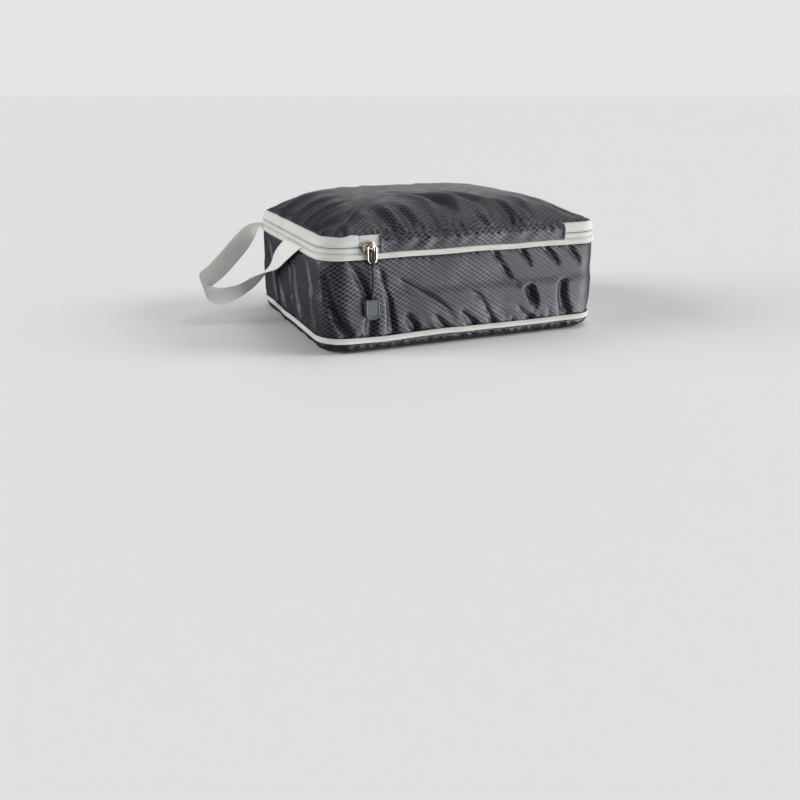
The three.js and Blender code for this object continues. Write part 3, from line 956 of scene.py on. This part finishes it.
def zips():
    left = front_s(STRIP_LEFT)
    right = PERIMETER - STRIP_RIGHT
    closed_end = front_s(CLOSED_END)
    whole, low_run, high_run = (0, PERIMETER), (left, right), (closed_end, right)
    for name, span, line, body, node in (
            ("compression_tape_low", around(), lower_flap_line, "base", "lower_compression_tape"),
            ("compression_tape_high", around(), upper_flap_line, "zip_band", "upper_compression_tape"),
            ("access_tape_low", stretch(left - TUCK, right + TUCK), access_lower_line, "zip_band",
             "access_lower_tape"),
            ("access_tape_high", stretch(closed_end + 0.08, right + TUCK), access_upper_line, "lid",
             "access_upper_tape"),
            ("access_tape_closed_end", stretch(left - TUCK, closed_end), access_upper_line, "zip_band",
             "access_closed_end_tape")):
        piece = sweep(name, span, line, TAPE_CLOTH, TAPE, name.startswith("compression"))
        finish_piece(piece, body, [node])
    above = middle_of("access_upper_coil")[2]
    for name, ends, offset, height, body, node in (
            ("compression_coil_low", whole, 1.9, middle_of("lower_compression_coil")[2] - 1.2, "base",
             "lower_compression_coil"),
            ("compression_coil_high", whole, 1.9, middle_of("upper_compression_coil")[2] + 1.0, "zip_band",
             "upper_compression_coil"),
            ("access_coil_low", low_run, -0.55, middle_of("access_lower_coil")[2], "zip_band",
             "access_lower_coil"),
            ("access_coil_high", high_run, -0.55, above, "lid", "access_upper_coil"),
            ("access_coil_closed_end", (left, closed_end - 0.4), -0.55, above, "zip_band",
             "access_closed_end_coil")):
        coil(name, ends, offset, height, body, node)
    for name, ends, line, share_up, body, pitch, length in (
            ("stitches_compression_low", whole, lower_flap_line, 0.66, "base", 3.1, 2.2),
            ("stitches_compression_high", whole, upper_flap_line, 0.30, "zip_band", 3.1, 2.2),
            ("stitches_access_low", low_run, access_lower_line, 0.30, "zip_band", 3.1, 2.2),
            ("stitches_access_high", high_run, access_upper_line, 0.86, "lid", 3.1, 2.2),
            ("coil_stitches_low", low_run, access_lower_line, 0.72, "zip_band", 1.7, 1.2),
            ("coil_stitches_high", high_run, access_upper_line, 0.30, "lid", 1.7, 1.2)):
        seam_row(name, ends, line, share_up, body, pitch, length)


def bindings():
    full = around(5)
    for name, body, node in (("base_binding", "base", "bottom_seam_binding"),
                             ("band_binding", "zip_band", "band_seam_binding"),
                             ("lid_binding", "lid", "lid_seam_binding")):
        low, high = cad(node)
        offset = high[0] - HALF_X - 0.55
        share = np.linspace(0, 1, 7)
        puff = 0.35 * np.sin(math.pi * share)
        line = list(zip(offset - puff, low[2] + (high[2] - low[2]) * share))
        piece = sweep(name, full, lambda s, line=line: line, 1.1, BINDING, True)
        finish_piece(piece, body, [node])


# ---- front hinge strip
def strip_surface(s, share):
    """Offset and height of the pleated strip; share runs from the band seam to the lid seam."""
    low = BAND_Z - 0.3 + band_sway(s)
    high = LID_Z + 0.1 + lid_sway(s)
    z = low + (high - low) * share
    offset = 1.35 - (lean_at(s) + 0.9) * soft_step(share, 0.7, 1.08)
    pleat = ripple(s - 0.5 * (z - low), 91, 70, 150, 14)
    offset = offset + 0.55 * pleat * soft_step(share, 0.45, 0.9) * (1 - soft_step(share, 0.95, 1.0))
    groove = np.exp(-((share - 0.93) / 0.035) ** 2) + 0.8 * np.exp(-((share - 0.80) / 0.035) ** 2)
    offset = offset - 1.1 * groove * (0.75 + 0.5 * pleat)
    offset = offset + 0.5 * ripple(s + 0.8 * (z - low), 93, 24, 60) * np.sin(math.pi * share)
    return offset, z


def hinge_strip():
    s = stretch(front_s(STRIP_LEFT) + 0.6, front_s(STRIP_RIGHT) - 0.6, 1.0)
    share = np.linspace(0, 1, 20)
    grid_s = np.repeat(s[:, None], len(share), 1)
    offset, z = strip_surface(grid_s, share[None, :])
    ends = np.minimum(np.abs(grid_s - s[0]), np.abs(grid_s - s[-1]))
    offset = offset + 0.9 * np.exp(-(ends / 1.6) ** 2) * np.sin(math.pi * share[None, :]) ** 0.5
    points = place(grid_s, offset, z)
    piece = grid_object("front_strip", points, s, z[0], RIPSTOP, flip=False)
    thicken(piece, 1.0)
    finish_piece(piece, None, ["front_hinge_strip"])
    bend_at_hinge(piece)
    for row, share_at in (("upper", 0.93), ("lower", 0.80)):
        def line(value, share_at=share_at):
            o, height = strip_surface(np.array([float(value)]), np.array([share_at]))
            return float(o[0]) + 0.45, float(height[0])
        values = np.arange(min(s) + 2, max(s) - 2, 3.2)
        row_piece = stitches(f"hinge_stitches_{row}", values, line, BLACK_THREAD, 2.3, 0.55)
        finish_piece(row_piece, None)
        bend_at_hinge(row_piece)


def bend_at_hinge(piece):
    """Bakes the piece's placement into its mesh."""
    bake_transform(piece)


# ---- side handle
HANDLE_STATIONS = [
    ((-151.2, -43, 95.0), (0, 19, 0)),
    ((-154.2, -38, 93.4), (0, 18, 1.5)),
    ((-156, -12, 84), (0, 4.5, 9.2)),
    ((-158.5, 18, 69), (1, 5.5, 8.3)),
    ((-163, 42, 55), (6.2, 7.5, 2)),
    ((-175, 51, 42), (3.5, 7.5, -6)),
    ((-193, 51, 32), (0.9, 5, -8.6)),
    ((-212, 51, 28), (1, 1.5, -9.8)),
    ((-226, 53, 33), (1.2, -3, -9.4)),
    ((-229, 58, 43), (3, -3.8, -8.8)),
    ((-212, 66, 54), (6.8, -3, -6.7)),
    ((-195, 77, 66), (6.8, -3, -6.7)),
    ((-177, 90, 80), (5.8, -5, -6.5)),
    ((-163, 100, 90.5), (2.2, -8.6, -4)),
    ((-152.5, 103, 94.4), (-4.0, -9.1, -0.8)),
    ((-147.0, 103.5, 95.0), (-4.2, -9.0, 0)),
]
HANDLE_THICK = 1.3
HANDLE_RIBS = 9
HANDLE_WIDTH = 20.0


def handle():
    steps = 260
    middle = smooth_curve([at for at, _ in HANDLE_STATIONS], steps)
    half = smooth_curve([edge for _, edge in HANDLE_STATIONS], steps)
    along = np.gradient(middle, axis=0)
    normal = np.cross(along, half)
    normal /= np.linalg.norm(normal, axis=1)[:, None]
    across = np.linspace(-1, 1, 73)
    edge_round = np.sqrt(np.clip(1 - np.abs(across) ** 14, 0.0, 1))
    ribs = 0.2 * np.cos(across * math.pi * HANDLE_RIBS)
    swell = (HANDLE_THICK / 2 - 0.2 + ribs) * edge_round
    flat = middle[:, None, :] + half[:, None, :] * across[None, :, None]
    lift = normal[:, None, :] * swell[None, :, None]
    points = np.concatenate([flat + lift, (flat - lift)[:, ::-1][:, 1:-1]], 1)
    v = across * HANDLE_WIDTH / 2
    v = np.concatenate([v, v[::-1][1:-1], [-HANDLE_WIDTH / 2]])
    piece = grid_object("handle_webbing", points, distances(middle), v, WEBBING, wrap_columns=True, caps=True,
                        flip=True)
    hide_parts("side_handle")
    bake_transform(piece)


# ---- sliders and pulls; side is -1 for the pair on the front and 1 on the back
THROAT, PLATE_OUT = 1.5, 3.1


def zip_plane(prefix, side):
    """The zip's mid-plane: the outer face of the slider's inner plate is PLATE_OUT away from it."""
    low, high = cad(f"{prefix}_slider")
    return high[1] - PLATE_OUT if side < 0 else low[1] + PLATE_OUT


def make_cord(prefix, body):
    low, high = cad(f"{prefix}_pull_cord")
    x, y, _ = middle_of(f"{prefix}_pull_cord")
    top, foot = high[2], low[2]
    bow = 1.2
    path = [(x + bow * math.sin(math.pi * t), y, top + (foot - top) * t) for t in np.linspace(0, 1, 24)]
    piece = tube(f"{prefix}_cord", path, 1.25, BRAID, sides=16)
    finish_piece(piece, body, [f"{prefix}_pull_cord"])
    loop = bight(prefix, x, y, top)
    tab = make_tab(prefix, body)


def bight(prefix, x, y, top):
    """The cord's doubled end: up behind the loop's foot, round inside the loop, down in front of it."""
    strand = 1.3
    clear = 0.95 + strand
    side = math.copysign(1, y)
    steps = [(0.3, 0, -0.8), (0.2, -0.8 * clear, 0.9), (-0.6, -clear, 2.6), (-1.5, -1.0, 5.2),
             (-1.75, 0, 8.5), (-1.7, 0, 11.5), (-1.1, 0, 13.4), (0, 0, 14.1), (1.1, 0, 13.4), (1.7, 0, 11.5),
             (1.75, 0, 8.5), (1.5, 1.0, 5.2), (1.0, clear, 2.6), (0.6, 0.8 * clear, 0.9), (0.3, 0, -0.8)]
    points = [(x + dx, y + side * dy, top + dz) for dx, dy, dz in steps]
    piece = tube(f"{prefix}_cord_bight", smooth_curve(points, 90), strand, BRAID, sides=14)
    finish_piece(piece, None)
    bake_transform(piece)
    return piece


def make_tab(prefix, body):
    """Rubber tab: a rounded slab with a raised border and a shallow curved groove."""
    low, high = cad(f"{prefix}_pull_tab")
    middle = middle_of(f"{prefix}_pull_tab")
    half_w, half_t = (high[0] - low[0]) / 2, (high[1] - low[1]) / 2
    height = high[2] - low[2]
    columns, rows = 41, 61
    sides = []
    for face in (-1, 1):
        layer = np.zeros((rows, columns, 3))
        for i, t in enumerate(np.linspace(0, 1, rows)):
            width = half_w * min(1.0, 0.86 + 0.14 * math.sqrt(min(1, t / 0.06)))
            if t > 0.74:
                width = half_w * math.sqrt(max(0.0, 1 - ((t - 0.74) / 0.26) ** 2))
            width = max(width, 0.35)
            for j, a in enumerate(np.linspace(-1, 1, columns)):
                edge = min((1 - abs(a)) * width, t * height, (1 - t) * height)
                swell = math.sqrt(max(0.0, 1 - (1 - min(1, edge / 1.1)) ** 2))
                inset = 0.35 * soft_step(edge, 1.3, 2.1)
                curve = abs((t * height) - (height * 0.70 + 2.6 * (1 - a * a)))
                groove = 0.4 * math.exp(-(curve / 0.5) ** 2)
                depth = max(0.12, half_t * swell - inset - groove)
                layer[i, j] = (middle[0] + a * width, middle[1] + face * depth, high[2] - t * height)
        sides.append(layer)
    ring = np.concatenate([sides[0], sides[1][:, ::-1]], 1)
    u = np.linspace(0, height, rows)
    v = np.linspace(0, 4 * half_w, ring.shape[1] + 1)
    piece = grid_object(f"{prefix}_tab", ring, u, v, RUBBER, wrap_columns=True, caps=True, flip=True)
    return finish_piece(piece, body, [f"{prefix}_pull_tab"])


def make_loop(prefix, body):
    """The wire loop, smooth all round."""
    low, high = cad(f"{prefix}_pull_loop")
    wire = (high[1] - low[1]) / 2
    broad = 1.3 * wire
    half_w = (high[0] - low[0]) / 2 - broad
    x, y, _ = middle_of(f"{prefix}_pull_loop")
    top, foot = high[2] - broad, low[2] + broad
    corner = 2.2
    points = []
    for centre_x, centre_z, radius, start, end, count in (
            (x - half_w + corner, top - corner, corner, math.pi / 2, math.pi, 10),
            (x, foot + half_w, half_w, math.pi, 2 * math.pi, 28),
            (x + half_w - corner, top - corner, corner, 0, math.pi / 2, 10)):
        for angle in np.linspace(start, end, count):
            points.append((centre_x + radius * math.cos(angle), y, centre_z + radius * math.sin(angle)))
    piece = tube(f"{prefix}_wire_loop", points, broad, METAL, sides=20, closed=True)
    for vertex in piece.data.vertices:
        vertex.co.y = y * MM + (vertex.co.y - y * MM) * wire / broad
    finish_piece(piece, body, [f"{prefix}_pull_loop"])


def slider_outline(length, height):
    """Outline of a slider plate: round-cornered, with a waist and a broad nose."""
    points = []
    for angle in np.linspace(0, 2 * math.pi, 72, endpoint=False):
        c, d = math.cos(angle), math.sin(angle)
        square = (abs(c) ** 4.5 + abs(d) ** 4.5) ** (-1 / 4.5)
        px, pz = c * square * length / 2, d * square * height / 2
        taper = 0.80 + 0.20 * soft_step(px / length, -0.25, 0.2)
        points.append((px, pz * taper))
    return np.array(points)
def domed_plate(outline_points, y_inner, y_outer, x, z, dome):
    """Rings from the inner rim out over a domed face; returns rows of points."""
    rings = [(0.90, 0.0), (0.975, 0.05), (1.0, 0.25), (1.0, 0.60), (0.96, 0.84), (0.88, 0.96), (0.72, 1.0),
             (0.5, 1.0 + dome * 0.6), (0.25, 1.0 + dome * 0.9), (0.02, 1.0 + dome)]
    rows = []
    for scale, depth in rings:
        y = y_inner + (y_outer - y_inner) * depth
        flat = outline_points * scale
        rows.append(np.stack([x + flat[:, 0], np.full(len(flat), y), z + flat[:, 1]], -1))
    return np.array(rows)


def make_slider(prefix, side, body):
    """Two plates, the bridge between them, and the lug that holds the wire loop."""
    low, high = cad(f"{prefix}_slider")
    x, _, z = middle_of(f"{prefix}_slider")
    plane = zip_plane(prefix, side)
    front = slider_outline(high[0] - low[0], high[2] - low[2]) * np.array([-side, 1])
    back = slider_outline(high[0] - low[0], 6.4)
    parts = [], [], []
    add_rings(parts, domed_plate(front, plane + side * THROAT, plane + side * PLATE_OUT, x, z, 0.18), True)
    add_rings(parts, domed_plate(back, plane - side * THROAT, plane - side * PLATE_OUT, x, z, 0.0), side > 0)
    add_block(parts, (x - side * 3.5, plane, z), (6, 3.2, 0.6))
    outer_y = low[1] if side < 0 else high[1]
    add_arch(parts, x - side * 3, plane + side * PLATE_OUT - side * 0.3, outer_y, z + 1.7)
    piece = mesh_object(f"{prefix}_slider_body", *parts, METAL)
    bevel = piece.modifiers.new("edges", "BEVEL")
    bevel.width = 0.12 * MM
    bevel.segments = 2
    bevel.limit_method = "ANGLE"
    bevel.angle_limit = math.radians(50)
    fix_normals(piece)
    finish_piece(piece, body, [f"{prefix}_slider"])


def fix_normals(piece):
    mesh = bmesh.new()
    mesh.from_mesh(piece.data)
    bmesh.ops.recalc_face_normals(mesh, faces=mesh.faces)
    mesh.to_mesh(piece.data)
    mesh.free()


def add_part(parts, points, new_faces):
    """Adds points and the faces between them to the lists that become one mesh."""
    vertices, faces, uvs = parts
    start = len(vertices)
    vertices.extend(points)
    for face in new_faces:
        faces.append(tuple(start + i for i in face))
        uvs.extend([(0, 0)] * len(face))


def add_rings(parts, rings, reverse=False):
    """A closed body made of rings of points."""
    rows, count = rings.shape[:2]
    faces = grid_faces(rows, count, False, True) + end_caps(rows, count)
    add_part(parts, rings.reshape(-1, 3).tolist(), [face[::-1] for face in faces] if reverse else faces)


def add_block(parts, centre, size):
    halves = (-0.5, 0.5)
    points = [[centre[0] + sx * size[0], centre[1] + sy * size[1], centre[2] + sz * size[2]]
              for sx in halves for sy in halves for sz in halves]
    add_part(parts, points,
             ((0, 1, 3, 2), (4, 6, 7, 5), (0, 4, 5, 1), (2, 3, 7, 6), (0, 2, 6, 4), (1, 5, 7, 3)))


def add_arch(parts, x, foot_y, outer_y, pivot_z):
    """The lug over the wire: an arch whose two feet stand above and below the pivot."""
    half_span = 0.85 + 0.4 + 1.25 / 2
    thick, width = 1.2, 3.0
    reach = outer_y - foot_y
    sign = math.copysign(1, reach)
    crown = abs(reach) - thick / 2
    rows = []
    for angle in np.linspace(0, math.pi, 23):
        square = (abs(math.cos(angle)) ** 5 + abs(math.sin(angle)) ** 5) ** (-1 / 5)
        z = pivot_z + half_span * math.cos(angle) * square
        y = crown * math.sin(angle) * square
        corners = []
        for a in np.linspace(0, 2 * math.pi, 16, endpoint=False):
            across = width / 2 * math.copysign(abs(math.cos(a)) ** 0.6, math.cos(a))
            along = thick / 2 * math.copysign(abs(math.sin(a)) ** 0.6, math.sin(a))
            corners.append((x + across, foot_y + sign * (y + along * math.sin(angle)),
                            z + along * math.cos(angle)))
        rows.append(corners)
    add_rings(parts, np.array(rows))


# ---- stage and light
HORIZON_GLOW = 0.80


def stage():
    mesh = bpy.data.meshes.new("floor")
    reach = 60.0
    mesh.from_pydata([(-reach, -reach, 0), (reach, -reach, 0), (reach, reach, 0), (-reach, reach, 0)], [],
                     [(0, 1, 2, 3)])
    floor = bpy.data.objects.new("floor", mesh)
    bpy.context.scene.collection.objects.link(floor)
    material, tree, shader = new_material("pale_floor")
    dress(tree, shader, {"Base Color": (0.765, 0.765, 0.765, 1), "Roughness": 0.9, "Specular IOR Level": 0.1})
    mesh.materials.append(material)
    floor.visible_shadow = False
    floor.visible_glossy = False
    make_world()


def make_world():
    """A studio pale at the horizon, dimmer overhead and darker on the left.

    A bright patch below the horizon, at the front right, gives the front wall its sheen: the floor
    doesn't hide it from glossy rays or shadow rays.
    """
    world = bpy.data.worlds.new("studio")
    bpy.context.scene.world = world
    world.use_nodes = True
    tree = world.node_tree
    background = tree.nodes["Background"]
    split = tree.nodes.new("ShaderNodeSeparateXYZ")
    tree.links.new(tree.nodes.new("ShaderNodeTexCoord").outputs["Generated"], split.inputs[0])
    overhead = remap(tree, split.outputs[2], 0.10, 0.20)
    right = remap(tree, split.outputs[0], -0.7, 0.8, 0.02, 0.3)
    glow = mix_value(tree, overhead, HORIZON_GLOW, right)
    background.inputs[0].default_value = (0.97, 0.98, 1.0, 1)
    front_right = maths(tree, "MULTIPLY_ADD", split.outputs[0], 0.8,
                        maths(tree, "MULTIPLY", split.outputs[1], -0.6))
    patch = remap(tree, front_right, 0.66, 0.98, 0.04, 4.9)
    above_horizon = remap(tree, split.outputs[2], -0.03, -0.02)
    tree.links.new(mix_value(tree, above_horizon, patch, glow), background.inputs[1])


def soft_light(name, source, spread, strength):
    """A distant softbox that lights object and floor evenly; spread is its width in degrees."""
    data = bpy.data.lights.new(name, "SUN")
    data.angle = math.radians(spread)
    data.energy = strength
    light = bpy.data.objects.new(name, data)
    bpy.context.scene.collection.objects.link(light)
    light.rotation_euler = (-Vector(source)).to_track_quat("-Z", "Y").to_euler()


def lights():
    soft_light("front_right", (0.90, -0.66, -0.34), 38, 2.3)
    soft_light("upper_right", (1.0, -0.45, 0.62), 26, 1.5)
    soft_light("back_right", (0.6, 1.0, 0.62), 44, 0.2)
    soft_light("left_fill", (-1.0, 0.25, 0.36), 40, 2.8)
    soft_light("overhead", (0.36, 0.05, 0.93), 36, 0.85)


# ---- build
make_cord("access", "access_tab")
make_cord("compression", "compression_tab")
lid_panel()
bottom()
wall()
zips()
bindings()
hinge_strip()
handle()
make_loop("access", "access_loop")
make_loop("compression", "compression_loop")
make_slider("access", -1, "access_slider_body")
make_slider("compression", 1, "compression_slider_body")
stage()
lights()
